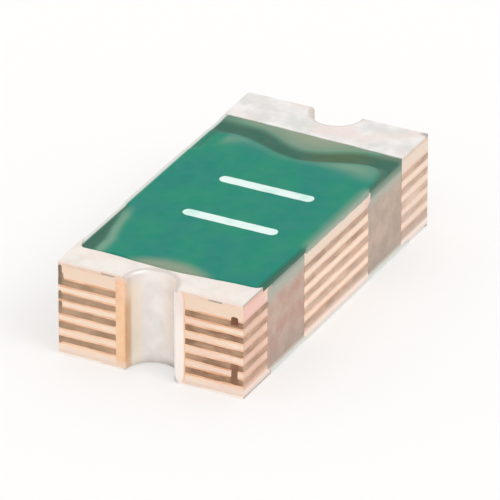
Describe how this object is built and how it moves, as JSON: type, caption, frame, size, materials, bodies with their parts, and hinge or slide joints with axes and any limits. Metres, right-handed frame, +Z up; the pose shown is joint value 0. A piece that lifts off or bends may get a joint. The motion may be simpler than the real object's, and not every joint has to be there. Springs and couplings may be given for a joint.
{
  "type": "resettable fuse",
  "caption": "Surface-mount resettable fuse: a laminated chip of polymer and copper foil under green solder mask, with a tinned half-hole terminal at each end.",
  "frame": {"origin": "middle of the underside, in the plane of the solder lands", "axes": "+X across the chip, +Y along it from the front terminal to the rear one, +Z up towards the printed face"},
  "size_m": [0.0016, 0.0032, 0.0008],
  "materials": {
    "polymer": "sawn edge of a conductive polymer",
    "copper": "sawn and plated copper",
    "glass_resin": "sawn edge of glass and resin",
    "tin": "matt tin plate",
    "solder_mask": "green solder mask",
    "side_resin": "cured filling resin",
    "ink": "white printing ink"
  },
  "bodies": {
    "root": {"bond_ply_1": "glass_resin", "bond_ply_2": "glass_resin", "bond_ply_3": "glass_resin", "bond_ply_4": "glass_resin", "bottom_foil": "copper", "bottom_foil_pad": "copper", "bottom_ply": "glass_resin", "bottom_solder_mask": "solder_mask", "front_copper_barrel": "copper", "front_left_side_fill": "side_resin", "front_right_side_fill": "side_resin", "front_terminal": "tin", "ink_bar_1": "ink", "ink_bar_2": "ink", "lower_foil_1": "copper", "lower_foil_1_stub": "copper", "lower_foil_2": "copper", "lower_foil_2_stub": "copper", "lower_foil_3": "copper", "lower_foil_3_stub": "copper", "lower_foil_4": "copper", "lower_foil_4_stub": "copper", "lower_foil_5": "copper", "lower_foil_5_stub": "copper", "polymer_sheet_1": "polymer", "polymer_sheet_2": "polymer", "polymer_sheet_3": "polymer", "polymer_sheet_4": "polymer", "polymer_sheet_5": "polymer", "rear_copper_barrel": "copper", "rear_left_side_fill": "side_resin", "rear_right_side_fill": "side_resin", "rear_terminal": "tin", "top_foil": "copper", "top_foil_pad": "copper", "top_ply": "glass_resin", "top_solder_mask": "solder_mask", "upper_foil_1": "copper", "upper_foil_1_stub": "copper", "upper_foil_2": "copper", "upper_foil_2_stub": "copper", "upper_foil_3": "copper", "upper_foil_3_stub": "copper", "upper_foil_4": "copper", "upper_foil_4_stub": "copper", "upper_foil_5": "copper", "upper_foil_5_stub": "copper"}
  },
  "joints": []
}
